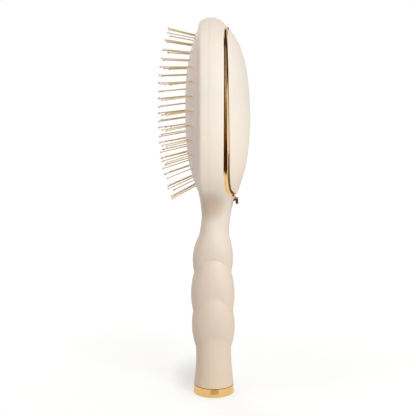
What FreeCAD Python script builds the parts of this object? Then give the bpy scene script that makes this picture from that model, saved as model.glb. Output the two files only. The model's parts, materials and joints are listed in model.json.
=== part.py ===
import FreeCAD, Part
import math
import os
import re
import Sketcher
from FreeCAD import Placement, Rotation, Vector

# The brush stands upright on its end cap: +Z up the handle, pins towards -Y, lid towards +Y.
# The origin is the centre of the end cap's flat foot.

doc = FreeCAD.newDocument("detangling_brush")

# Driving dimensions in millimetres
dimensions = [
    # Outer form
    ("overall_height", 235.0),
    ("head_length", 133.5),
    ("head_width", 71.0),
    ("head_front_depth", 9.9),
    ("head_back_depth", 22.2),
    ("seam_depth", 3.0),
    ("grip_radius", 13.9),
    ("overrun", 20.0),
    # End cap and plug
    ("cap_height", 5.8),
    ("cap_top_radius", 12.65),
    ("cap_foot_radius", 12.95),
    ("cap_floor", 1.4),
    ("cap_edge_round", 0.45),
    ("cap_wall", 1.35),
    ("plug_length", 16.0),
    ("plug_wall", 1.85),
    ("plug_chamfer", 1.0),
    ("handle_wall", 6.5),
    ("handle_bore_margin", 4.5),
    # Cushion
    ("pad_top_margin", 6.8),
    ("pad_foot_margin", 27.7),
    ("pad_side_margin", 4.3),
    ("pad_crown", 7.9),
    ("pad_thickness", 1.6),
    ("pad_seat_depth", 9.7),
    ("front_wall", 1.9),
    ("pad_flange", 1.2),
    ("pad_flange_width", 1.0),
    ("soft_gap", 0.15),
    ("vent_radius", 0.8),
    # Base plate and its screws
    ("base_gap", 0.1),
    ("base_thickness", 1.8),
    ("boss_radius", 2.4),
    ("boss_side_margin", 2.8),
    ("boss_end_margin", 4.5),
    ("boss_end_spread", 12.5),
    ("screw_radius", 1.0),
    ("screw_head_radius", 1.9),
    ("screw_head_height", 1.1),
    ("screw_length", 7.0),
    ("screw_gap", 0.1),
    ("screw_recess_radius", 0.55),
    ("screw_recess_depth", 0.6),
    # Pins
    ("pin_radius", 0.32),
    ("pin_proud", 16.4),
    ("pin_head_radius", 0.95),
    ("pin_head_height", 0.4),
    ("pin_head_gap", 0.2),
    ("pin_hole_gap", 0.06),
    ("ball_radius", 0.72),
    ("ball_depth", 0.6),
    # Back shell deck, tray and trim ring
    ("deck_front", 3.2),
    ("ring_seat", 5.4),
    ("tray_seat", 5.2),
    ("tray_side_margin", 5.8),
    ("tray_end_margin", 13.0),
    ("tray_wall", 1.3),
    ("tray_floor_depth", 2.6),
    ("tray_flange", 1.0),
    ("tray_flange_width", 2.4),
    ("tray_rim_width", 2.3),
    ("tray_gap", 0.1),
    ("ring_lip", 1.2),
    # Lid and hinge
    ("lid_wall", 2.0),
    ("lid_gap", 0.3),
    ("lid_lift", 0.2),
    ("hinge_pin_radius", 0.5),
    ("hinge_pin_gap", 0.05),
    ("knuckle_radius", 1.0),
    ("knuckle_half_width", 1.9),
    ("knuckle_gap", 0.3),
    ("ear_end", 6.0),
    ("arm_length", 4.5),
    ("arm_half_thickness", 0.85),
    ("ring_relief_radius", 1.7),
    ("lid_relief_radius", 1.6),
    ("lid_relief_end", 9.0),
    # Latch
    ("latch_travel", 1.5),
    ("latch_half_width", 5.0),
    ("latch_front", 4.6),
    ("latch_thickness", 1.6),
    ("latch_length", 18.8),
    ("stem_half_width", 2.6),
    ("tab_half_width", 5.3),
    ("tab_gap", 0.2),
    ("tab_drop", 7.4),
    ("tab_thickness", 1.25),
    ("tab_reach", 15.0),
    ("lip_thickness", 1.5),
    ("lip_drop", 2.0),
    ("latch_gap", 0.25),
    ("spring_gap", 0.1),
    ("spring_coil_radius", 0.62),
    ("spring_wire_radius", 0.13),
    ("spring_length", 5.0),
    ("spring_pitch", 0.7),
    ("cover_half_width", 6.7),
    ("cover_thickness", 1.2),
    ("cover_length", 37.5),
    ("cover_rise", 7.2),
    ("cover_screw_inset", 2.6),
    ("cover_screw_radius", 0.7),
    ("cover_screw_head_radius", 1.4),
    ("cover_screw_head_height", 0.9),
    ("cover_screw_length", 3.4),
    ("tongue_half_width", 3.4),
    ("tongue_thickness", 1.5),
    ("tongue_rise", 0.6),
    ("tongue_front", 4.9),
    ("tongue_gap", 0.4),
    ("tongue_swing_gap", 1.2),
]

sheet = doc.addObject("Spreadsheet::Sheet", "sizes")
for row_number, (alias, value) in enumerate(dimensions, start=1):
    sheet.set("A%d" % row_number, alias.replace("_", " "))
    sheet.set("B%d" % row_number, str(value))
    sheet.setAlias("B%d" % row_number, alias)
doc.recompute()

size = {alias: float(sheet.get(alias)) for alias, value in dimensions}


def bind(target, prop, formula):
    """Tie a property to the sheet: every word of the formula is an alias there."""
    target.setExpression(prop, re.sub(r"[a-z_]{3,}", lambda word: "<<sizes>>." + word.group(), formula))


def measure(formula):
    """The value of a formula that adds, takes away, doubles or halves the sheet's sizes."""
    total = 0.0
    for sign, factor, alias, divisor in re.findall(
        r"([+-]?)\s*(?:([\d.]+)\s*\*\s*)?([a-z_]{3,})(?:\s*/\s*([\d.]+))?", formula
    ):
        term = size[alias] * float(factor or 1) / float(divisor or 1)
        total += -term if sign == "-" else term
    return total


# Places and sizes that follow from the driving ones: formulas in the sheet's words
latch_top_share = 0.2232
hinge_shares = (0.3545, 0.9468)
head_foot = "overall_height - head_length"
latch_top = head_foot + " + %.4f * head_length" % latch_top_share
latch_bottom = latch_top + " - latch_length"
tab_bottom = latch_top + " - tab_drop"
cover_top = latch_top + " + cover_rise"
cover_bottom = cover_top + " - cover_length"
hinge_depth = "%.4f * head_back_depth" % hinge_shares[0]
hinge_height = head_foot + " + %.4f * head_length" % hinge_shares[1]
bore_radius = "grip_radius - handle_wall"
flange_radius = "cap_top_radius - cap_wall"

head_foot_height = measure(head_foot)
pad_half_width = measure("head_width / 2 - pad_side_margin")
pad_half_length = measure("head_length / 2 - pad_top_margin / 2 - pad_foot_margin / 2")
pad_centre_height = measure("overall_height - pad_top_margin") - pad_half_length
tray_half_width = pad_half_width - size["tray_side_margin"]
tray_half_length = pad_half_length - size["tray_end_margin"]


def box(name, x, y, z, length, width, height):
    """A block by its low corner and its three sizes, each a formula in sheet words."""
    block = doc.addObject("Part::Box", name)
    bind(block, "Placement.Base.x", x)
    bind(block, "Placement.Base.y", y)
    bind(block, "Placement.Base.z", z)
    bind(block, "Length", length)
    bind(block, "Width", width)
    bind(block, "Height", height)
    return block


def rod(name, radius, length, place, turn):
    """A cylinder by its radius, length, foot point and the rotation of its axis from +Z."""
    cylinder = doc.addObject("Part::Cylinder", name)
    bind(cylinder, "Radius", radius)
    bind(cylinder, "Height", length)
    cylinder.Placement = Placement(Vector(0, 0, 0), turn)
    bind(cylinder, "Placement.Base.x", place[0])
    bind(cylinder, "Placement.Base.y", place[1])
    bind(cylinder, "Placement.Base.z", place[2])
    return cylinder


def solid_feature(name, shape):
    """A document object that holds a shape worked out from the sheet's sizes."""
    feature = doc.addObject("Part::Feature", name)
    feature.Shape = shape
    return feature


def cut(name, base, tools):
    """The base with every tool taken away."""
    result = base
    for number, tool in enumerate(tools, start=1):
        step = doc.addObject("Part::Cut", "%s_cut_%d" % (name, number))
        step.Base = result
        step.Tool = tool
        result = step
    return result


def fuse(name, members):
    """The members joined in one solid."""
    result = doc.addObject("Part::MultiFuse", name + "_fuse")
    result.Shapes = members
    result.Refine = False
    return result


def common(name, members):
    """What the members share."""
    result = doc.addObject("Part::MultiCommon", name + "_common")
    result.Shapes = members
    return result


along_x = Rotation(Vector(0, 1, 0), 90)
towards_back = Rotation(Vector(1, 0, 0), -90)

# Outer form: cross-sections up the brush, each a front and a back quarter oval on either side
quarter_steps = 16
unit_quarters = {}


def quarter_poles(power):
    """Control points of one quarter of a unit oval: across, along the depth, and across squared."""
    key = round(power, 4)
    if key in unit_quarters:
        return unit_quarters[key]
    points = []
    for step in range(4 * quarter_steps):
        angle = math.pi / 2 * step / quarter_steps
        sine = math.sin(angle)
        cosine = math.cos(angle)
        reach = (abs(cosine) ** power + abs(sine) ** power) ** (-1 / power)
        points.append(Vector(reach * sine, reach * cosine, (reach * sine) ** 2))
    curve = Part.BSplineCurve()
    parameters = [step / quarter_steps for step in range(4 * quarter_steps + 1)]
    curve.interpolate(Points=points, Parameters=parameters, PeriodicFlag=True)
    curve.segment(0, 1)
    unit_quarters[key] = (curve.getPoles(), curve.getKnots(), curve.getMultiplicities())
    return unit_quarters[key]


class Section:
    """One cross-section: its height, half sizes, widest line, arch at the sides and the ovals' powers."""

    def __init__(self, height, side, front, back, widest=0.0, arch=0.0, front_power=2.0, back_power=2.0):
        self.height = height
        self.side = side
        self.front = front
        self.back = back
        self.widest = widest
        self.arch = arch
        self.front_power = front_power
        self.back_power = back_power

    def poles(self, hand, facing):
        """Control points of the quarter on the side hand (1 or -1) that faces front (-1) or back (1)."""
        power = self.back_power if facing > 0 else self.front_power
        reach = self.back + self.widest if facing > 0 else self.front - self.widest
        unit = quarter_poles(power)[0]
        return [
            Vector(
                hand * self.side * pole.x,
                facing * reach * pole.y - self.widest,
                self.height + self.arch * pole.z,
            )
            for pole in unit
        ]


def skin(sections, hand, facing):
    """The smooth face through one quarter of every section."""
    travel = [0.0]
    for low, high in zip(sections, sections[1:]):
        rise = math.dist((low.height, low.side, low.back), (high.height, high.side, high.back))
        travel.append(travel[-1] + rise)
    parameters = [distance / travel[-1] for distance in travel]
    rows = [section.poles(hand, facing) for section in sections]
    columns = []
    curve = Part.BSplineCurve()
    for column in zip(*rows):
        curve.interpolate(Points=list(column), Parameters=parameters)
        columns.append(curve.getPoles())
    knots, multiplicities = quarter_poles(sections[0].front_power)[1:]
    surface = Part.BSplineSurface()
    surface.buildFromPolesMultsKnots(
        columns,
        multiplicities,
        curve.getMultiplicities(),
        knots,
        curve.getKnots(),
        False,
        False,
        3,
        3,
    )
    return surface.toShape()


def closing_face(section):
    """The flat face that ends a form below."""
    knots, multiplicities = quarter_poles(section.front_power)[1:]
    edges = []
    for hand in (1, -1):
        for facing in (1, -1):
            curve = Part.BSplineCurve()
            curve.buildFromPolesMultsKnots(section.poles(hand, facing), multiplicities, knots, False, 3)
            edges.append(curve.toShape())
    return Part.Face(Part.Wire(Part.__sortEdges__(edges)))


def form(patches):
    """A closed solid from runs of sections that meet end to end, flat below and closed above."""
    faces = [closing_face(patches[0][0])]
    for sections in patches:
        for hand in (1, -1):
            for facing in (1, -1):
                faces.append(skin(sections, hand, facing))
    shell = Part.Shell(faces)
    shell.sewShape()
    solid = Part.Solid(shell)
    if solid.Volume < 0:
        solid.reverse()
    return solid


# Handle: creases between the swells, as shares of the handle's length and of the grip radius:
# height, arch at the sides, front, back and side
crease_shares = [
    (0.2957, 0.597, 0.822, 0.795, 0.815),
    (0.5232, 0.741, 0.943, 0.866, 0.910),
    (0.7705, 0.669, 0.896, 0.796, 0.860),
    (1.0, 0.367, 0.677, 0.694, 0.705),
]
# Swell of each run between the creases at its middle, the run above the cap first: front, back, side
swell_shares = [
    (-0.043, -0.033, -0.036),
    (0.113, 0.124, 0.119),
    (0.122, 0.108, 0.115),
    (0.161, 0.117, 0.137),
]
swell_steps = 6

foot = Section(size["cap_height"], size["cap_top_radius"], size["cap_top_radius"], size["cap_top_radius"])
creases = [foot]
for height_share, arch_share, front_share, back_share, side_share in crease_shares:
    creases.append(
        Section(
            height_share * head_foot_height,
            side_share * size["grip_radius"],
            front_share * size["grip_radius"],
            back_share * size["grip_radius"],
            arch=arch_share * size["grip_radius"],
        )
    )


def swell_between(low, high, swell):
    """Sections from one crease to the next, swollen between them along a parabola."""
    sections = []
    for step in range(swell_steps + 1):
        part = step / swell_steps
        rest = 1 - part
        crown = 4 * part * rest * size["grip_radius"]
        sections.append(
            Section(
                rest * low.height + part * high.height,
                rest * low.side + part * high.side + crown * swell[2],
                rest * low.front + part * high.front + crown * swell[0],
                rest * low.back + part * high.back + crown * swell[1],
                arch=rest * low.arch + part * high.arch,
            )
        )
    return sections


# Head: height as a share of the head's length, side of half the head width, front and back of
# their depths, widest line of the seam depth, arch of the grip radius, then the ovals' powers
head_shares = [
    (0.0301, 0.270, 0.869, 0.432, 0.00, 0.320, 2.0, 2.0),
    (0.06, 0.270, 0.806, 0.447, 0.05, 0.240, 2.0, 2.0),
    (0.0899, 0.279, 0.775, 0.467, 0.15, 0.155, 2.1, 2.0),
    (0.1199, 0.301, 0.801, 0.497, 0.30, 0.080, 2.3, 2.0),
    (0.1498, 0.344, 0.843, 0.538, 0.50, 0.030, 2.7, 2.0),
    (0.1762, 0.411, 0.894, 0.589, 0.70, 0.005, 3.3, 2.05),
    (0.1985, 0.490, 0.949, 0.645, 0.85, 0.0, 4.2, 2.1),
    (0.2248, 0.580, 0.987, 0.712, 0.95, 0.0, 5.4, 2.1),
    (0.2584, 0.687, 1.000, 0.779, 1.00, 0.0, 6.8, 2.1),
    (0.3034, 0.800, 1.000, 0.856, 1.00, 0.0, 8.0, 2.1),
    (0.3633, 0.899, 1.000, 0.926, 1.00, 0.0, 8.0, 2.1),
    (0.4385, 0.972, 1.000, 0.974, 1.00, 0.0, 8.0, 2.1),
    (0.5282, 1.000, 1.000, 0.999, 1.00, 0.0, 8.0, 2.1),
    (0.618, 1.000, 1.000, 0.986, 1.00, 0.0, 8.0, 2.1),
    (0.7007, 0.975, 1.000, 0.946, 1.00, 0.0, 8.0, 2.1),
    (0.7747, 0.913, 1.000, 0.881, 1.00, 0.0, 8.0, 2.1),
    (0.8345, 0.825, 1.000, 0.793, 1.00, 0.0, 8.0, 2.1),
    (0.8838, 0.718, 1.000, 0.671, 1.00, 0.0, 8.0, 2.1),
    (0.9208, 0.600, 1.000, 0.540, 1.00, 0.0, 7.0, 2.1),
    (0.9507, 0.473, 0.993, 0.398, 1.00, 0.0, 5.2, 2.1),
    (0.9736, 0.344, 0.925, 0.270, 0.95, 0.0, 3.6, 2.1),
    (0.9887, 0.226, 0.775, 0.160, 0.87, 0.0, 2.7, 2.05),
    (0.997, 0.115, 0.540, 0.050, 0.78, 0.0, 2.3, 2.0),
    (1.0, 0.0, 0.222, -0.099, 0.733, 0.0, 2.0, 2.0),
]


def head_section(shares, side_scale=1.0, depth_scale=1.0, height_scale=1.0):
    """A head section from its row, drawn in towards the pad's centre by the three scales."""
    height = head_foot_height + shares[0] * size["head_length"]
    if height > pad_centre_height:
        height = pad_centre_height + height_scale * (height - pad_centre_height)
    widest = shares[4] * size["seam_depth"]
    front = shares[2] * size["head_front_depth"]
    back = shares[3] * size["head_back_depth"]
    if shares is head_shares[-1]:
        front = widest
        back = -widest
    return Section(
        height,
        side_scale * shares[1] * size["head_width"] / 2,
        widest + depth_scale * (front - widest),
        depth_scale * (back + widest) - widest,
        widest,
        shares[5] * size["grip_radius"],
        shares[6],
        shares[7],
    )


patches = []
for low, high, swell in zip(creases, creases[1:], swell_shares):
    patches.append(swell_between(low, high, swell))
patches.append([creases[-1]] + [head_section(shares) for shares in head_shares])
outer_form = solid_feature("outer_form", form(patches))

# Hollow of the lid: the head's form drawn in by the lid's wall
core_first_row = 6
core_scales = (
    1 - size["lid_wall"] / (size["head_width"] / 2),
    1 - size["lid_wall"] / (size["head_back_depth"] + size["seam_depth"]),
    1 - size["lid_wall"] / (size["overall_height"] - pad_centre_height),
)
lid_core = solid_feature(
    "lid_core", form([[head_section(shares, *core_scales) for shares in head_shares[core_first_row:]]])
)

# Parting lines in the side view, as shares of the head's back depth and of its length
ring_front_foot_shares = [
    (0.811, 0.1753),
    (0.613, 0.1859),
    (0.464, 0.1955),
    (0.338, 0.2160),
    (0.290, 0.2448),
    (0.259, 0.2846),
]
ring_back_foot_shares = [
    (0.811, 0.1880),
    (0.649, 0.1978),
    (0.550, 0.2072),
    (0.480, 0.2211),
    (0.432, 0.2457),
    (0.408, 0.2846),
]
ring_front_top_shares = [
    (0.252, 0.9102),
    (0.284, 0.9449),
    (0.331, 0.9655),
    (0.428, 0.9894),
]
ring_back_top_shares = [
    (0.331, 0.8803),
    (0.342, 0.9213),
    (0.365, 0.9419),
    (0.400, 0.9595),
    (0.480, 0.9824),
]
ring_straight_shares = (0.3399, 0.8504)
ring_back_depth_shares = (0.394, 0.338)
ring_straight_foot = head_foot_height + ring_straight_shares[0] * size["head_length"]
ring_straight_top = head_foot_height + ring_straight_shares[1] * size["head_length"]
ring_back_foot = ring_back_depth_shares[0] * size["head_back_depth"]
ring_back_top = ring_back_depth_shares[1] * size["head_back_depth"]


def side_points(shares):
    """Points of a parting line in the side view."""
    return [
        Vector(0, y * size["head_back_depth"], head_foot_height + z * size["head_length"])
        for y, z in shares
    ]


def behind_line(foot_shares, foot_depth, top_depth, top_shares, shift):
    """Everything behind a parting line of the side view, right through the brush."""
    foot_end = Vector(0, foot_depth, ring_straight_foot)
    top_start = Vector(0, top_depth, ring_straight_top)
    run = top_start - foot_end
    foot_curve = Part.BSplineCurve()
    foot_points = side_points(foot_shares) + [foot_end]
    foot_curve.interpolate(
        Points=foot_points,
        InitialTangent=foot_points[1] - foot_points[0],
        FinalTangent=run,
    )
    top_curve = Part.BSplineCurve()
    top_points = [top_start] + side_points(top_shares)
    top_curve.interpolate(
        Points=top_points,
        InitialTangent=run,
        FinalTangent=top_points[-1] - top_points[-2],
    )
    far = size["head_back_depth"] + size["overrun"]
    far_top = Vector(0, far, top_points[-1].z)
    far_foot = Vector(0, far, foot_points[0].z)
    outline = Part.Wire(
        [
            foot_curve.toShape(),
            Part.LineSegment(foot_end, top_start).toShape(),
            top_curve.toShape(),
            Part.LineSegment(top_points[-1], far_top).toShape(),
            Part.LineSegment(far_top, far_foot).toShape(),
            Part.LineSegment(far_foot, foot_points[0]).toShape(),
        ]
    )
    half = size["head_width"] / 2 + size["overrun"]
    face = Part.Face(outline)
    face.translate(Vector(-half, shift[0], shift[1]))
    return face.extrude(Vector(2 * half, 0, 0))


ring_front_line = (ring_front_foot_shares, size["ring_seat"], size["ring_seat"], ring_front_top_shares)
ring_back_line = (ring_back_foot_shares, ring_back_foot, ring_back_top, ring_back_top_shares)
behind_ring_front = solid_feature("behind_ring_front", behind_line(*ring_front_line, (0.0, 0.0)))
behind_ring_back = solid_feature("behind_ring_back", behind_line(*ring_back_line, (0.0, 0.0)))
behind_lid_edge = solid_feature(
    "behind_lid_edge", behind_line(*ring_back_line, (size["lid_gap"], size["lid_lift"]))
)

# Pad outline: a full oval with its own power across and along
outline_power_across = 2.3
outline_power_along = 2.8
outline_points = 96


def oval_points(growth):
    """Points on the pad's outline, grown outwards by a length."""
    half_width = pad_half_width + growth
    half_length = pad_half_length + growth
    points = []
    for number in range(outline_points):
        angle = 2 * math.pi * number / outline_points
        across = math.copysign(abs(math.cos(angle)) ** (2 / outline_power_across), math.cos(angle))
        along = math.copysign(abs(math.sin(angle)) ** (2 / outline_power_along), math.sin(angle))
        points.append((half_width * across, pad_centre_height + half_length * along))
    return points


def oval_prism(growth, front, back):
    """The pad's outline, grown by a length, between two depths."""
    curve = Part.BSplineCurve()
    curve.interpolate(Points=[Vector(x, front, z) for x, z in oval_points(growth)], PeriodicFlag=True)
    face = Part.Face(Part.Wire([curve.toShape()]))
    return face.extrude(Vector(0, back - front, 0))


flange_front = -size["pad_seat_depth"] + size["front_wall"] + size["soft_gap"]
flange_back = flange_front + size["pad_flange"]
base_front = flange_back + size["base_gap"]
base_back = base_front + size["base_thickness"]
far_front = -size["head_front_depth"] - size["pad_crown"] - size["overrun"]

pad_opening = solid_feature("pad_opening", oval_prism(size["soft_gap"], far_front, size["seam_depth"]))
chamber_growth = size["pad_flange_width"] + size["soft_gap"] + size["base_gap"]
front_chamber = solid_feature(
    "front_chamber",
    oval_prism(chamber_growth, flange_front - size["soft_gap"], size["seam_depth"]),
)
back_chamber = solid_feature(
    "back_chamber", oval_prism(chamber_growth, -size["seam_depth"] - size["overrun"], size["deck_front"])
)

# Shells
front_half = box(
    "front_half",
    "-head_width",
    "-head_width - seam_depth",
    "-overrun",
    "2 * head_width",
    "head_width",
    "overall_height + 2 * overrun",
)
back_half = box(
    "back_half",
    "-head_width",
    "-seam_depth",
    "-overrun",
    "2 * head_width",
    "head_width",
    "overall_height + 2 * overrun",
)
handle_bore = rod(
    "handle_bore", bore_radius, head_foot + " - handle_bore_margin", ("0", "0", "0"), Rotation()
)

front_shell = cut(
    "front_shell",
    common("front_shell", [outer_form, front_half]),
    [pad_opening, front_chamber, handle_bore],
)
front_shell.Label = "front_shell"

cover_pocket = box(
    "cover_pocket",
    "-cover_half_width - latch_gap / 2",
    "-seam_depth - overrun",
    cover_bottom + " - spring_gap",
    "2 * cover_half_width + latch_gap",
    "latch_front - spring_gap + seam_depth + overrun",
    "cover_length + 2 * spring_gap",
)
latch_channel = box(
    "latch_channel",
    "-latch_half_width - latch_gap",
    "latch_front - 2 * spring_gap",
    latch_bottom + " - spring_length - spring_gap",
    "2 * latch_half_width + 2 * latch_gap",
    "latch_thickness + 3 * spring_gap",
    "latch_length + spring_length + spring_gap + tongue_rise",
)
tab_slot = box(
    "tab_slot",
    "-stem_half_width - latch_gap",
    "latch_front",
    tab_bottom + " - latch_travel - latch_gap",
    "2 * stem_half_width + 2 * latch_gap",
    "head_back_depth",
    "tab_thickness + latch_travel + 2 * latch_gap",
)
tongue_slot = box(
    "tongue_slot",
    "-tongue_half_width - tongue_gap",
    "latch_front - spring_gap",
    latch_top + " + spring_gap",
    "2 * tongue_half_width + 2 * tongue_gap",
    "head_back_depth",
    "tongue_rise + tongue_thickness + tongue_swing_gap",
)


def ellipse_body(name, growth, front, depth):
    """The tray's oval, grown by a length, as a padded ellipse from a depth and of a depth in the sheet."""
    body = doc.addObject("PartDesign::Body", name)
    sketch = body.newObject("Sketcher::SketchObject", name + "_outline")
    plane = [item for item in body.Origin.OriginFeatures if item.Role == "XZ_Plane"][0]
    sketch.AttachmentSupport = [(plane, "")]
    sketch.MapMode = "FlatFace"
    middle = Vector(0, pad_centre_height, 0)
    along = Vector(0, tray_half_length + growth, 0)
    across = Vector(tray_half_width + growth, 0, 0)
    sketch.addGeometry(Part.Ellipse(middle + along, middle + across, middle), False)
    pad = body.newObject("PartDesign::Pad", name + "_pad")
    pad.Profile = sketch
    pad.Reversed = True
    bind(pad, "Length", depth)
    bind(body, "Placement.Base.y", front)
    return body


tray_hole = ellipse_body(
    "tray_hole",
    size["tray_gap"],
    "-seam_depth",
    "head_back_depth",
)
tray_rebate = ellipse_body(
    "tray_rebate",
    size["tray_flange_width"],
    "tray_seat",
    "tray_flange",
)
ring_window = ellipse_body(
    "ring_window",
    size["ring_lip"],
    "tray_seat",
    "head_back_depth",
)

boss_side = tray_half_width + size["boss_side_margin"]
boss_end = tray_half_length + size["boss_end_margin"]
boss_places = [(boss_side, 0.0), (-boss_side, 0.0)]
for hand in (1, -1):
    for end in (1, -1):
        boss_places.append((hand * size["boss_end_spread"], end * boss_end))


def rods_at(places, radius, front, back):
    """Rods towards the back at each place on the head."""
    shapes = []
    for x, offset in places:
        foot = Vector(x, front, pad_centre_height + offset)
        shapes.append(Part.makeCylinder(radius, back - front, foot, Vector(0, 1, 0)))
    return Part.makeCompound(shapes)


boss_top = size["deck_front"] + size["tray_flange"]
bosses = solid_feature("bosses", rods_at(boss_places, size["boss_radius"], base_back, boss_top))
screw_tip = base_front + size["screw_length"]
boss_bores = solid_feature(
    "boss_bores",
    rods_at(boss_places, size["screw_radius"], base_front, screw_tip + size["screw_gap"]),
)
cover_screw_places = [
    (0.0, measure(cover_top + " - cover_screw_inset") - pad_centre_height),
    (0.0, measure(cover_bottom + " + cover_screw_inset") - pad_centre_height),
]
cover_back = size["latch_front"] - size["spring_gap"]
cover_front = cover_back - size["cover_thickness"]
cover_screw_tip = cover_front + size["cover_screw_length"] - size["cover_screw_head_height"]
cover_bores = solid_feature(
    "cover_bores",
    rods_at(cover_screw_places, size["cover_screw_radius"], cover_front, cover_screw_tip),
)

back_blank = cut("back_blank", common("back_blank", [outer_form, back_half]), [back_chamber])
back_bossed = fuse("back_bossed", [back_blank, bosses])
back_shell = cut(
    "back_shell",
    back_bossed,
    [
        behind_ring_front,
        tray_hole,
        tray_rebate,
        handle_bore,
        cover_pocket,
        latch_channel,
        tab_slot,
        tongue_slot,
        boss_bores,
        cover_bores,
    ],
)
back_shell.Label = "back_shell"

# Trim ring with the two outer knuckles of the hinge
ring_band = cut(
    "ring_band",
    common("ring_band", [outer_form, behind_ring_front]),
    [behind_ring_back, ring_window, tray_rebate, tongue_slot],
)


def hinge_rod(name, radius, start, length):
    """A rod on the hinge's axis, across the head."""
    return rod(name, radius, length, (start, hinge_depth, hinge_height), along_x)


ring_relief = hinge_rod(
    "ring_relief",
    "ring_relief_radius",
    "-knuckle_half_width - knuckle_gap",
    "2 * knuckle_half_width + 2 * knuckle_gap",
)
near_ear = hinge_rod(
    "near_ear", "knuckle_radius", "knuckle_half_width + knuckle_gap", "ear_end - knuckle_half_width - knuckle_gap"
)
far_ear = hinge_rod(
    "far_ear", "knuckle_radius", "-ear_end", "ear_end - knuckle_half_width - knuckle_gap"
)
pin_bore = hinge_rod("pin_bore", "hinge_pin_radius", "-ear_end", "2 * ear_end")
ring_relieved = cut("ring_relieved", ring_band, [ring_relief])
trim_ring = cut("trim_ring", fuse("trim_ring", [ring_relieved, near_ear, far_ear]), [pin_bore])
trim_ring.Label = "trim_ring"

hinge_pin = hinge_rod("hinge_pin", "hinge_pin_radius", "-ear_end", "2 * ear_end")
hinge_pin.Label = "hinge_pin"

# Lid with its knuckle and catch tongue
lid_blank = cut("lid_blank", common("lid_blank", [outer_form, behind_lid_edge]), [lid_core])
lid_relief = hinge_rod("lid_relief", "lid_relief_radius", "-lid_relief_end", "2 * lid_relief_end")
lid_trimmed = cut("lid_trimmed", lid_blank, [lid_relief])
lid_knuckle = hinge_rod("lid_knuckle", "knuckle_radius", "-knuckle_half_width", "2 * knuckle_half_width")
lid_pin_bore = hinge_rod(
    "lid_pin_bore",
    "hinge_pin_radius + hinge_pin_gap",
    "-knuckle_half_width - knuckle_gap",
    "2 * knuckle_half_width + 2 * knuckle_gap",
)
arm_angle = 37.0
arm = Part.makeBox(
    2 * size["knuckle_half_width"],
    2 * size["arm_half_thickness"],
    size["arm_length"],
    Vector(-size["knuckle_half_width"], -size["arm_half_thickness"], -size["arm_length"]),
)
arm.rotate(Vector(0, 0, 0), Vector(1, 0, 0), arm_angle)
arm.translate(Vector(0, measure(hinge_depth), measure(hinge_height)))
lid_arm = common("lid_arm", [solid_feature("arm_block", arm), outer_form])
tongue = box(
    "tongue",
    "-tongue_half_width",
    "tongue_front",
    latch_top + " + tongue_rise",
    "2 * tongue_half_width",
    "head_back_depth",
    "tongue_thickness",
)
lid_tongue = common("lid_tongue", [tongue, outer_form])
lid = cut("lid", fuse("lid", [lid_trimmed, lid_knuckle, lid_arm, lid_tongue]), [lid_pin_bore])
lid.Label = "lid"

# Cushion: a dome that falls away along two powers, one across the head and one along it
dome_points = 33


def dome_share(x, z):
    """Height of the dome over its seat at a place, as a share of its crown."""
    across = abs(x) / pad_half_width
    along = abs(z - pad_centre_height) / pad_half_length
    return 1 - across**outline_power_across - along**outline_power_along


def dome_profile(half, power):
    """Control points of the dome's fall along one direction, past its edge."""
    points = []
    parameters = []
    reach = half + size["pad_flange_width"]
    for number in range(dome_points):
        parameter = number / (dome_points - 1)
        place = reach * (2 * parameter - 1)
        points.append(Vector(place, size["pad_crown"] * (abs(place) / half) ** power, 0))
        parameters.append(parameter)
    curve = Part.BSplineCurve()
    curve.interpolate(Points=points, Parameters=parameters)
    return curve


def behind_dome(shift):
    """Everything behind the dome's surface, moved back by a length."""
    across = dome_profile(pad_half_width, outline_power_across)
    along = dome_profile(pad_half_length, outline_power_along)
    crown_depth = -size["pad_seat_depth"] - size["pad_crown"] + shift
    poles = [
        [
            Vector(side.x, crown_depth + side.y + length.y, pad_centre_height + length.x)
            for length in along.getPoles()
        ]
        for side in across.getPoles()
    ]
    surface = Part.BSplineSurface()
    surface.buildFromPolesMultsKnots(
        poles,
        across.getMultiplicities(),
        along.getMultiplicities(),
        across.getKnots(),
        along.getKnots(),
        False,
        False,
        3,
        3,
    )
    return surface.toShape().extrude(Vector(0, size["pad_seat_depth"] + size["pad_crown"] + size["overrun"], 0))


pad_neck = solid_feature("pad_neck", oval_prism(0.0, far_front, flange_back))
pad_space = solid_feature("pad_space", oval_prism(-size["pad_thickness"], far_front, flange_back))
dome_outside = solid_feature("dome_outside", behind_dome(0.0))
dome_inside = solid_feature("dome_inside", behind_dome(size["pad_thickness"]))
pad_rim = solid_feature("pad_rim", oval_prism(size["pad_flange_width"], flange_front, flange_back))
pad_body = fuse("pad_body", [common("pad_dome", [pad_neck, dome_outside]), pad_rim])
pad_hollow = common("pad_hollow", [pad_space, dome_inside])

# Pins: rings of equal height in rows across the head, closer pairs in the half rows, ends by hand
pin_row_pitch_share = 0.1727
pin_row_start_share = 0.0141
pin_row_pitch = pin_row_pitch_share * pad_half_length
pin_row_start = pin_row_start_share * pad_half_length
pin_rows_each_way = 8
ring_height_shares = (0.405, 0.69)
half_row_share = 0.335
end_pin_shares = [(0.805, 0.0), (0.805, 0.30), (0.87, 0.41), (0.92, 0.155)]
pin_lean = 6.5
pin_side_lean = 3.8


def pin_places():
    """Where each pin leaves the dome, on the head's right half and its centre line."""
    places = []
    for number in range(-pin_rows_each_way, pin_rows_each_way + 1):
        offset = pin_row_start + number * pin_row_pitch / 2
        z = pad_centre_height + offset
        if number % 2:
            places.append((half_row_share * pad_half_width, z))
            continue
        places.append((0.0, z))
        for ring_share in ring_height_shares:
            rest = dome_share(0, z) - ring_share
            if rest > 0:
                places.append((pad_half_width * rest ** (1 / outline_power_across), z))
    for along_share, across_share in end_pin_shares:
        for end in (1, -1):
            z = pad_centre_height + end * along_share * pad_half_length
            places.append((across_share * pad_half_width, z))
    return places


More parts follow.
